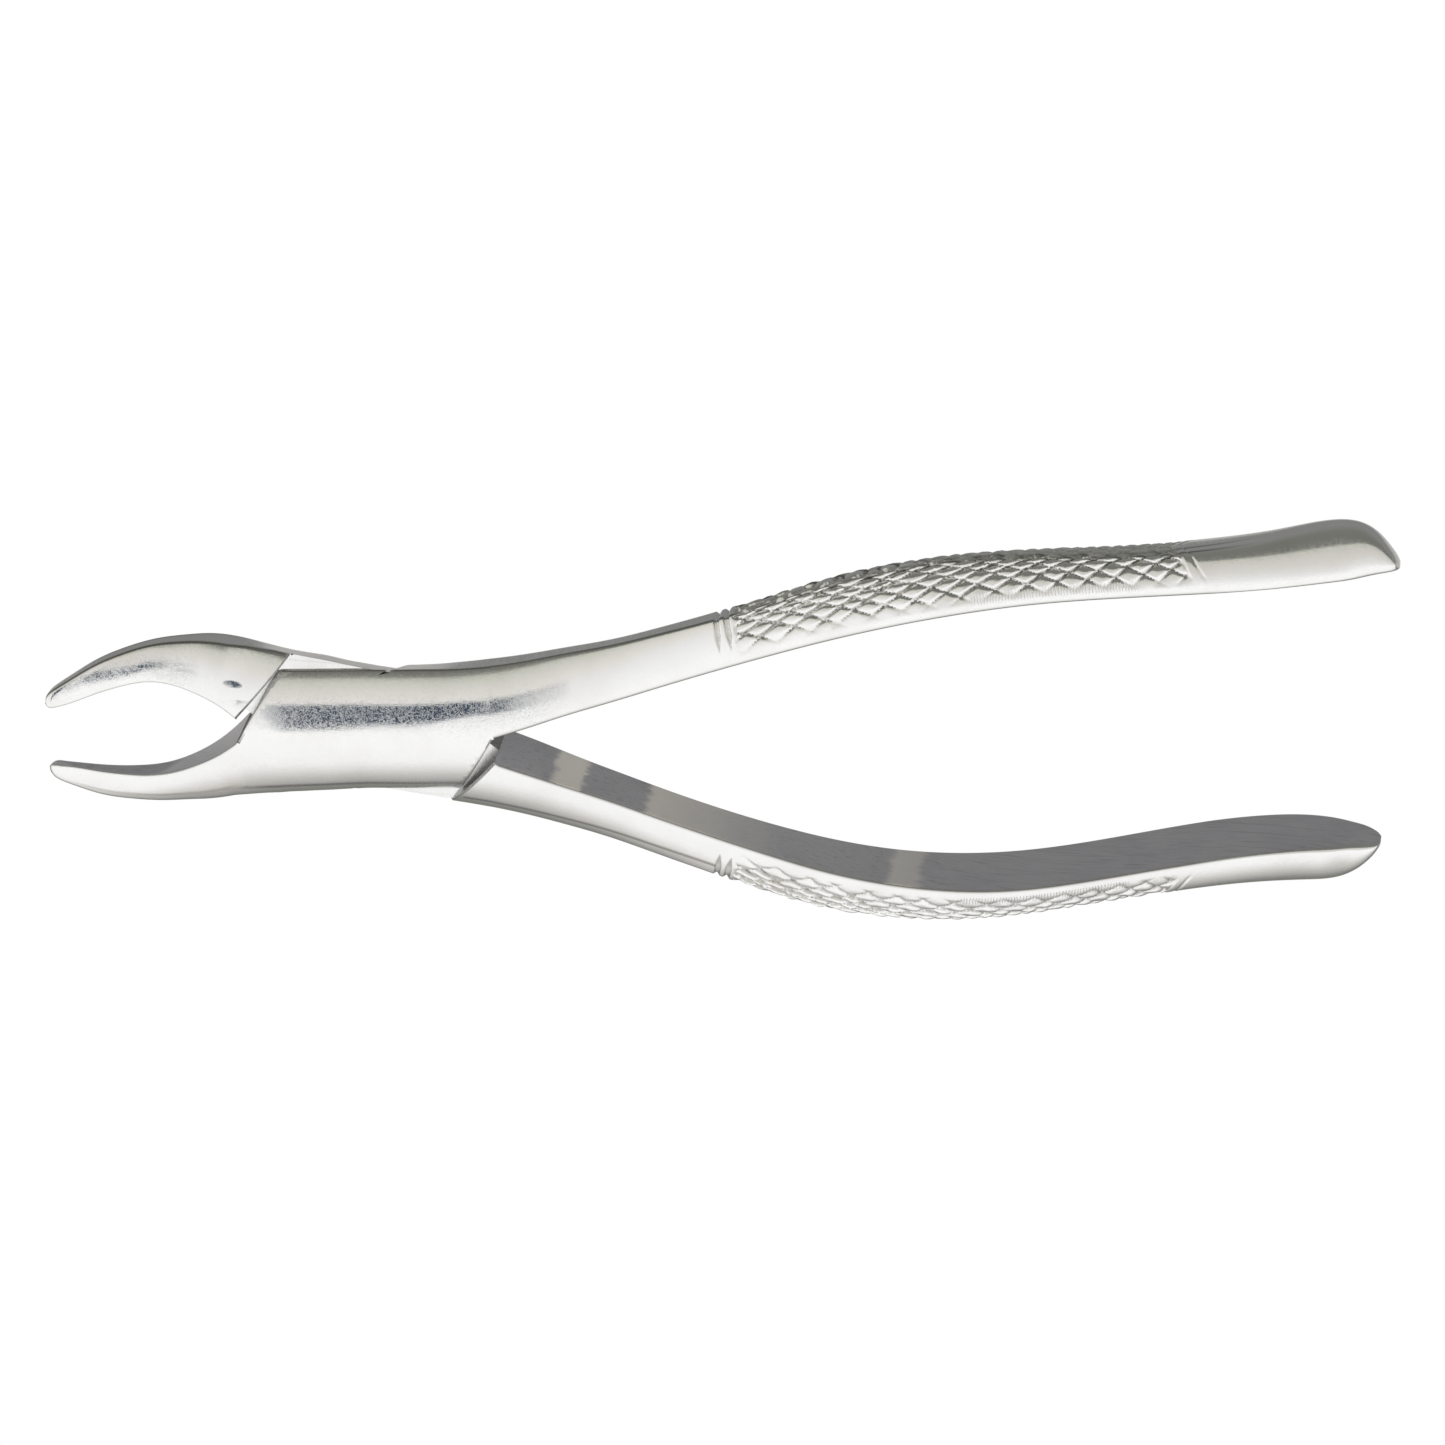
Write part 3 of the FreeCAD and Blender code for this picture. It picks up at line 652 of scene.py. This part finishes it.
def lap_chamfers(ob, front):
    tree = BVHTree.FromPolygons([v.co.copy() for v in ob.data.vertices],
                                [tuple(p.vertices) for p in ob.data.polygons])
    own, other = FRONT_SHOULDER, REAR_SHOULDER
    if not front:
        own, other = other, own
    face = 1 if front else -1
    tools = []
    # name, shoulder, gap, lean of the line in x, first y, chamfer size, face, finish
    for name, shoulder, gap, lean, first, size, side, finish in (
        ("plate", own, -LAP_GAP, 1, 0.02, 0.26, face, POLISHED),
        # the block chamfers take the dark milled steel, a painted shade line along the shoulder
        # edge
        ("block", other, LAP_GAP, -1, 0.1, 0.34, -face, MILLED_AND_SHADE),
    ):
        offset, slope = shoulder_line(shoulder, gap)
        sin, cos = math.sin(shoulder[1]), math.cos(shoulder[1])
        for i, half in enumerate((1, -1)):
            def line(y):
                return lean * (slope * y - half * offset)
            ys = np.linspace(*sorted((half * first, half * 9.2)), 34)
            out = (-half * sin, lean * half * cos)
            tools.append(chamfer_tool("%s_%d" % (name, i), tree, line, ys, out, size, side,
                                      not front, finish))
    return [tool for tool in tools if tool is not None]


# ---- materials ------------------------------------------------------------------------
class Shader:
    """Builds the node tree of a material or world.  An input given as a socket is
    linked; any other value is set."""

    def __init__(self, owner):
        owner.use_nodes = True
        self.tree = owner.node_tree
        self.tree.nodes.clear()

    def node(self, kind, inputs=(), **settings):
        node = self.tree.nodes.new("ShaderNode" + kind)
        for key, value in settings.items():
            setattr(node, key, value)
        for key, value in dict(inputs).items():
            if isinstance(value, bpy.types.NodeSocket):
                self.tree.links.new(value, node.inputs[key])
            else:
                node.inputs[key].default_value = value
        return node

    def calc(self, operation, *values, clamp=False):
        settings = dict(operation=operation, use_clamp=clamp)
        return self.node("Math", enumerate(values), **settings).outputs[0]

    def mix_colour(self, factor, first, second, **settings):
        inputs = {0: factor, 6: first, 7: second}
        return self.node("Mix", inputs, data_type="RGBA", **settings).outputs[2]

    def ramp(self, factor, stops):
        """Linear ramp; a stop is a position and a grey value or colour."""
        node = self.node("ValToRGB", {0: factor})
        elements = node.color_ramp.elements
        while len(elements) > 1:
            elements.remove(elements[-1])
        for i, (position, colour) in enumerate(stops):
            if not isinstance(colour, tuple):
                colour = (colour, colour, colour, 1.0)
            if i == 0:
                elements[0].position, elements[0].color = position, colour
            else:
                elements.new(position).color = colour
        return node.outputs[0]

    def noise(self, point, scale, stretch=(1, 1, 1), detail=3.0, rough=0.5):
        mapping = self.node("Mapping", {"Vector": point, "Scale": stretch})
        return self.node("TexNoise", {"Vector": mapping.outputs[0], "Scale": scale,
                                      "Detail": detail, "Roughness": rough}).outputs["Fac"]

    def bump(self, height, distance, normal, **settings):
        inputs = {"Strength": 1.0, "Distance": distance, "Height": height}
        if normal is not None:
            inputs["Normal"] = normal
        return self.node("Bump", inputs, **settings).outputs["Normal"]

    def attribute(self, name):
        return self.node("Attribute", attribute_name=name).outputs["Fac"]

    def axes(self, vector):
        return self.node("SeparateXYZ", {0: vector}).outputs

    def finish(self, surface, kind="OutputMaterial"):
        self.node(kind, {0: surface})


def painted_sheen_bands(shader, point):
    """1 on the painted light bands of the inner flat: warm near-white sheen that stands in for
    reflections.
    """
    wobble = shader.noise(point, 0.9, (0.3, 1, 1), 3.0, 0.6)
    x = shader.calc("MULTIPLY_ADD", wobble, 2.4, shader.axes(point)[0])
    # x in units of 100 mm, strength
    return shader.ramp(shader.calc("MULTIPLY", x, 0.01), [
        (0.0, 0.0), (0.2475, 0.0), (0.2520, 1.0), (0.2860, 1.0), (0.2900, 0.0), (0.3640, 0.0),
        (0.3700, 0.9), (0.4500, 0.6), (0.5300, 0.15), (0.6700, 0.0), (0.6800, 0.7),
        (0.7100, 0.6), (0.7200, 0.0)])


def hairlines(shader, point):
    """Fine hairlines at several angles."""
    lines = None
    for degrees, shift in ((62, 0.0), (-38, 7.3), (101, 3.1), (15, 11.7)):
        mapping = shader.node("Mapping", {"Rotation": (0, 0, math.radians(degrees)),
                                          "Location": (shift, shift, 0), "Vector": point})
        line = shader.noise(mapping.outputs[0], 1.0, (1.2, 12.0, 0.3), 1.0)
        line = shader.ramp(line, [(0.63, 0.0), (0.67, 1.0)])
        lines = line if lines is None else shader.calc("MAXIMUM", lines, line)
    return lines


def file_ticks(shader, point):
    """Short file ticks along the flat's edge of the grip."""
    mask = shader.attribute("tick")
    wobble = shader.calc("MULTIPLY", shader.noise(point, 0.8, detail=2.0), 9.0)
    wave = shader.calc("SINE", shader.calc("MULTIPLY_ADD", shader.axes(point)[0], 16.8, wobble))
    ticks = shader.calc("MULTIPLY_ADD", wave, 2.5, -1.2, clamp=True)
    return shader.calc("MULTIPLY", ticks, mask)


def steel(name, base, tint, rough, scratch, streak=0.0, wave=0.0, grain=0.0, hair=0.0,
          lengthwise=True, groove=False, painted_sheen=False):
    """Steel of colour base, with tint where dull; rough is its range of roughness.
    scratch, streak, wave, grain and hair are amounts; groove reads the arm's attributes, which
    carry painted shade along grooves, creases and edges."""
    material = bpy.data.materials.new(name)
    shader = Shader(material)
    # object coordinates in millimetres
    coords = shader.node("TexCoord").outputs["Object"]
    point = shader.node("VectorMath", {0: coords, "Scale": 1000.0}, operation="SCALE").outputs[0]
    fine_stretch = (0.35, 9.0, 9.0) if lengthwise else (9.0, 0.5, 9.0)
    fine = shader.noise(point, 1.0, fine_stretch, 4.0, 0.6)
    cross = shader.noise(point, 1.0, (6.0, 0.8, 1.4), 3.0, 0.6)
    blotch = shader.noise(point, 0.16)
    pits = shader.noise(point, 5.0, detail=2.0)
    shade_and_dullness = shader.attribute("groove") if groove else None

    # colour: slight change from patch to patch, darker in scratches, and painted shade in grooves,
    # along creases and at the flat's edges
    clean = shader.ramp(blotch, [(0.30, 0.3), (0.55, 0.9), (0.8, 1.0)])
    clean = shader.calc("MULTIPLY", clean, 1.0)
    unscratched = shader.ramp(fine, [(0.36, 1.0 - 0.8 * scratch), (0.5, 1.0)])
    clean = shader.calc("MULTIPLY", clean, unscratched)
    colour = shader.mix_colour(clean, (*tint, 1), (*base, 1))
    if streak > 0:
        streaks = shader.noise(point, 1.0, (0.06, 2.6, 2.6), 5.0, 0.65)
        streaks = shader.ramp(streaks, [(0.32, 1 - streak), (0.5, 1.0), (0.66, 1 - 0.35 * streak)])
        colour = shader.mix_colour(1.0, colour, streaks, blend_type="MULTIPLY")
    if groove:
        # painted shade: dark along the grooves, the crown's creases and the flat's edges
        colour = shader.mix_colour(shade_and_dullness, colour, (0.25, 0.24, 0.22, 1))
    if painted_sheen:
        # painted sheen: warm near-white bands across the satin flat
        sheen_bands = painted_sheen_bands(shader, point)
        colour = shader.mix_colour(sheen_bands, colour, (1.0, 0.96, 0.91, 1))

    roughness = shader.node("Mix", {0: blotch, 2: rough[0], 3: rough[1]}, data_type="FLOAT")
    scratches = shader.ramp(fine, [(0.38, 0.25 * scratch), (0.52, 0.0)])
    roughness = shader.calc("ADD", roughness.outputs[0], scratches, clamp=True)
    if hair > 0:
        hairs = hairlines(shader, point)
        roughness = shader.calc("MULTIPLY_ADD", hairs, hair, roughness, clamp=True)
    if groove:
        roughness = shader.calc("MULTIPLY_ADD", shade_and_dullness, 0.18, roughness, clamp=True)

    # bump, heights in metres: scratches, faint waviness, grain, cross scratches
    waviness = shader.noise(point, 0.55, (0.5, 1, 1), 1.5)
    normal = shader.bump(fine, 0.000004 * (1 + 6 * scratch), None)
    normal = shader.bump(waviness, 0.00002 * (0.4 + wave), normal)
    normal = shader.bump(pits, 0.000006 * (0.3 + grain), normal)
    normal = shader.bump(cross, 0.000003 * (0.5 + scratch), normal)
    if hair > 0:
        normal = shader.bump(hairs, 0.0000026, normal)
    if groove:
        normal = shader.bump(file_ticks(shader, point), 0.00004, normal, invert=True)

    bsdf = shader.node("BsdfPrincipled", {"Metallic": 1.0, "Base Color": colour,
                                          "Roughness": roughness, "Normal": normal})
    if painted_sheen:
        # the painted light bands lose their metal, so they show bright
        metallic = shader.calc("MULTIPLY_ADD", sheen_bands, -0.95, 1.0)
        shader.tree.links.new(metallic, bsdf.inputs["Metallic"])
    shader.finish(bsdf.outputs[0])
    return material


# in the order of the material slots
ARM_MATERIALS = [
    steel("forged_polished", base=(0.86, 0.858, 0.85), tint=(0.80, 0.79, 0.77),
          rough=(0.02, 0.04), scratch=0.05, wave=-0.28, hair=0.14, groove=True),
    steel("forged_satin_flat", base=(0.77, 0.765, 0.79), tint=(0.66, 0.66, 0.69),
          rough=(0.26, 0.40), scratch=0.5, streak=0.22, wave=0.2, grain=0.6, painted_sheen=True),
    steel("forged_ground_lap", base=(0.84, 0.84, 0.835), tint=(0.70, 0.69, 0.67),
          rough=(0.07, 0.16), scratch=0.35, streak=0.12, grain=0.4, lengthwise=False),
    # milled steel, darker; on the block chamfers it is a painted shade line
    steel("forged_shoulder_milled_and_shade", base=(0.50, 0.50, 0.48), tint=(0.30, 0.29, 0.27),
          rough=(0.22, 0.42), scratch=0.8, streak=0.55, wave=0.6, grain=6.0,
          lengthwise=False),
]


# ---- arms and screw -------------------------------------------------------------------
def build_arm(name, front, node, body):
    ob = arm_object(name, mirror=not front)
    for material in ARM_MATERIALS:
        ob.data.materials.append(material)
    cut_with(ob, lap_cutters(front) + lap_chamfers(ob, front))
    rest = REST_ANGLE if front else -REST_ANGLE
    ob.data.transform(Matrix.Scale(MM, 4) @ Matrix.Rotation(rest, 4, "Z"))
    ob.data.shade_smooth()
    ob.data.set_sharp_from_angle(angle=math.radians(41))
    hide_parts(node)
    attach(ob, body)


build_arm("front_arm_forging", True, "front_arm", "front_half")
build_arm("rear_arm_forging", False, "rear_arm", "rear_half")

# the pivot screw is the CAD part with a turned finish
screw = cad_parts["pivot_screw"]
screw.data.materials.clear()
screw.data.materials.append(
    steel("screw_turned", base=(0.77, 0.77, 0.765), tint=(0.70, 0.68, 0.64),
          rough=(0.14, 0.24), scratch=0.3))

# ---- world ----------------------------------------------------------------------------
REFLECTANCE = 0.84          # of the steel, which the surround's tones allow for
# Surround: angle about the x axis in degrees, from +z towards +y, and the sRGB tone out
# of 255 that it shows on the steel.  The first is for directions well towards +x.
PLAIN_TONES = [
    (-180, 150), (-160, 186), (-142, 180), (-126, 112), (-110, 116), (-97, 142), (-77, 190),
    (-57, 244), (-18, 250), (-8, 222), (5, 206), (20, 199), (38, 192), (41, 124), (50, 112),
    (90, 114), (140, 128), (180, 124)]
JOINT_TONES = [
    (-180, 150), (-160, 186), (-142, 180), (-126, 118), (-110, 122), (-97, 142), (-75, 190),
    (-54, 243), (-20, 248), (-8, 240), (8, 228), (20, 218), (32, 208), (45, 199), (53, 187),
    (58, 122), (70, 110), (100, 116), (140, 128), (180, 124)]


def reflected(tone):
    """Linear value that shows as an sRGB tone on the steel."""
    tone = tone / 255.0
    linear = tone / 12.92 if tone <= 0.04045 else ((tone + 0.055) / 1.055) ** 2.4
    return linear / REFLECTANCE


def surround_stop(angle, tone):
    """Ramp stop with the tone tinted: warm in the mid tones, less blue in the dark bands."""
    tint = (1, 1, 1)
    if 34 < angle < 120 or -135 < angle < -100:
        tint = (1.0, 1.005, 0.955)
    elif 150 < tone < 222:
        tint = (1.012, 1.0, 0.975)
    colour = tuple(reflected(min(255, tone * k)) for k in tint) + (1.0,)
    return angle / 360.0 + 0.5, colour


def build_world():
    world = bpy.data.worlds.new("studio")
    bpy.context.scene.world = world
    shader = Shader(world)
    direction = shader.axes(shader.node("TexCoord").outputs["Generated"])
    angle = shader.calc("ARCTAN2", direction["Y"], direction["Z"])
    turn = shader.calc("MULTIPLY_ADD", angle, 0.5 / math.pi, 0.5)
    plain, joint = (shader.ramp(turn, [surround_stop(*stop) for stop in tones])
                    for tones in (PLAIN_TONES, JOINT_TONES))
    side = shader.node("MapRange", {"Value": direction["X"], "From Min": 0.10, "From Max": 0.30})
    surround = shader.mix_colour(side.outputs["Result"], joint, plain)
    # the camera itself sees plain white
    seen = shader.node("LightPath").outputs["Is Camera Ray"]
    colour = shader.mix_colour(seen, surround, (1, 1, 1, 1))
    background = shader.node("Background", {"Color": colour})
    shader.finish(background.outputs[0], "OutputWorld")


build_world()


# ---- floor and overhead card ----------------------------------------------------------
def sheet_object(name, mesh_name, outlines, z):
    """Flat faces at height z, one for each outline; all in metres."""
    verts, faces = [], []
    for outline in outlines:
        faces.append(tuple(range(len(verts), len(verts) + len(outline))))
        verts += [(x, y, z) for x, y in outline]
    mesh = bpy.data.meshes.new(mesh_name)
    mesh.from_pydata(verts, [], faces)
    return new_object(name, mesh)


def floor_material():
    """White to the camera from above, clear to everything else."""
    material = bpy.data.materials.new("floor_pale")
    shader = Shader(material)
    white = shader.node("Emission", {"Color": (1, 1, 1, 1)}).outputs[0]
    clear = shader.node("BsdfTransparent").outputs[0]
    camera_ray = shader.node("LightPath").outputs["Is Camera Ray"]
    behind = shader.node("NewGeometry").outputs["Backfacing"]
    seen = shader.calc("SUBTRACT", camera_ray, behind, clamp=True)
    shader.finish(shader.node("MixShader", {0: seen, 1: clear, 2: white}).outputs[0])
    return material


FLOOR_HALF, FLOOR_DROP = 3.0, 0.0004
floor_square = [(x * FLOOR_HALF, y * FLOOR_HALF) for x, y in ((-1, -1), (1, -1), (1, 1), (-1, 1))]
floor = sheet_object("floor", "floor", [floor_square], cad_lo.z - FLOOR_DROP)
floor.data.materials.append(floor_material())

# Outlines of the dark card, x and y in millimetres
CARD_HEIGHT = 0.3
CARD_SHEETS = (
    [(-106, 72), (-97, 76), (-80, 69), (-60, 84), (-49, 86), (-33, 86), (-24, 82), (-16, 70),
     (-12, 60), (-11, 44), (-5, 26), (2, 8), (9, -6), (2, -6), (-8, -4), (-18, -5), (-33, -16),
     (-45, -29), (-65, -53), (-78, -89), (-90, -89)],
    [(90, -106), (80, -50), (74, -32), (67, -8), (50, 12), (41, 56), (29, 4), (35, -18),
     (60, -64), (72, -86), (78, -104)],
    [(10, 36), (18, 39), (18, 53), (10, 49)],
)


def card_hidden(shader):
    """1 where a ray starts from a place that must not see the card: the mask paints the card's
    dark reflection onto chosen places of the steel only.
    """
    geometry = shader.node("NewGeometry").outputs
    length = shader.node("LightPath").outputs["Ray Length"]
    back = shader.node("VectorMath", {0: geometry["Incoming"], "Scale": length},
                       operation="SCALE").outputs[0]
    start = shader.node("VectorMath", {0: geometry["Position"], 1: back}, operation="ADD")
    start = shader.axes(start.outputs[0])
    x, y = start["X"], start["Y"]
    # along the handle, past the joint
    past = shader.node("MapRange", {"Value": x, "From Min": 0.0215, "From Max": 0.0265},
                       clamp=True).outputs[0]
    # beside the shoulder: fades in along x, up to a limit in x and beyond one in y
    fade = shader.calc("MULTIPLY_ADD", x, 330.0, 7.9, clamp=True)
    inside = shader.calc("MULTIPLY", shader.calc("LESS_THAN", x, -0.0125),
                         shader.calc("GREATER_THAN", y, 0.0045))
    near = shader.calc("MULTIPLY", fade, inside)
    # except for a small slanted oval where the painted dark reflection shows
    spot_x = shader.calc("MULTIPLY_ADD", x, 800.0, 13.6)
    slanted = shader.calc("MULTIPLY_ADD", x, 0.12, y)
    spot_y = shader.calc("MULTIPLY_ADD", slanted, 2100.0, -9.55)
    square = shader.calc("ADD", shader.calc("MULTIPLY", spot_x, spot_x),
                         shader.calc("MULTIPLY", spot_y, spot_y))
    dark_reflection_spot = shader.calc("MULTIPLY_ADD", square, -1.6, 1.9, clamp=True)
    near = shader.calc("SUBTRACT", near, dark_reflection_spot, clamp=True)
    return shader.calc("MAXIMUM", past, near)


def card_material():
    material = bpy.data.materials.new("card_dark")
    shader = Shader(material)
    colour = (reflected(66), reflected(77), reflected(90), 1)
    dark = shader.node("Emission", {"Color": colour}).outputs[0]
    hidden = card_hidden(shader)
    clear = shader.node("BsdfTransparent").outputs[0]
    shader.finish(shader.node("MixShader", {0: hidden, 1: dark, 2: clear}).outputs[0])
    return material


# the card shows only as a reflection in the polished steel, a painted dark reflection placed by
# card_hidden
card = sheet_object("card_overhead", "card",
                    [[(x * MM, y * MM) for x, y in sheet] for sheet in CARD_SHEETS], CARD_HEIGHT)
card.data.materials.append(card_material())
card.visible_camera = card.visible_diffuse = card.visible_shadow = False
card.visible_transmission = card.visible_volume_scatter = False

bpy.context.scene.view_settings.view_transform = "Standard"

# ---- camera ---------------------------------------------------------------------------
# It looks down the pivot axis, tilted towards +y and turned a little towards the handles.
TILT, TURN = math.radians(30), math.radians(8.79)
DISTANCE = 700.0                        # mm from the plane through the pivot
VIEW_WIDTH = 184.31122                  # mm across the picture at that distance
AIM_RIGHT, AIM_UP = 44.96173, 0.72704   # mm from the pivot to the picture's centre
SENSOR = 36.0


def build_camera():
    cos_tilt, sin_tilt = math.cos(TILT), math.sin(TILT)
    cos_turn, sin_turn = math.cos(TURN), math.sin(TURN)
    right = Vector((cos_turn, 0, -sin_turn))
    up = Vector((-sin_tilt * sin_turn, cos_tilt, -sin_tilt * cos_turn))
    back = Vector((cos_tilt * sin_turn, sin_tilt, cos_tilt * cos_turn))
    data = bpy.data.cameras.new("camera")
    data.sensor_width = SENSOR
    data.lens = SENSOR * DISTANCE / VIEW_WIDTH
    data.clip_start, data.clip_end = 0.05, 20.0
    camera = new_object("camera", data)
    place = (right * AIM_RIGHT + up * AIM_UP + back * DISTANCE) * MM
    axes = Matrix((right, up, back)).transposed().to_4x4()
    camera.matrix_world = Matrix.Translation(place) @ axes
    bpy.context.scene.camera = camera


build_camera()
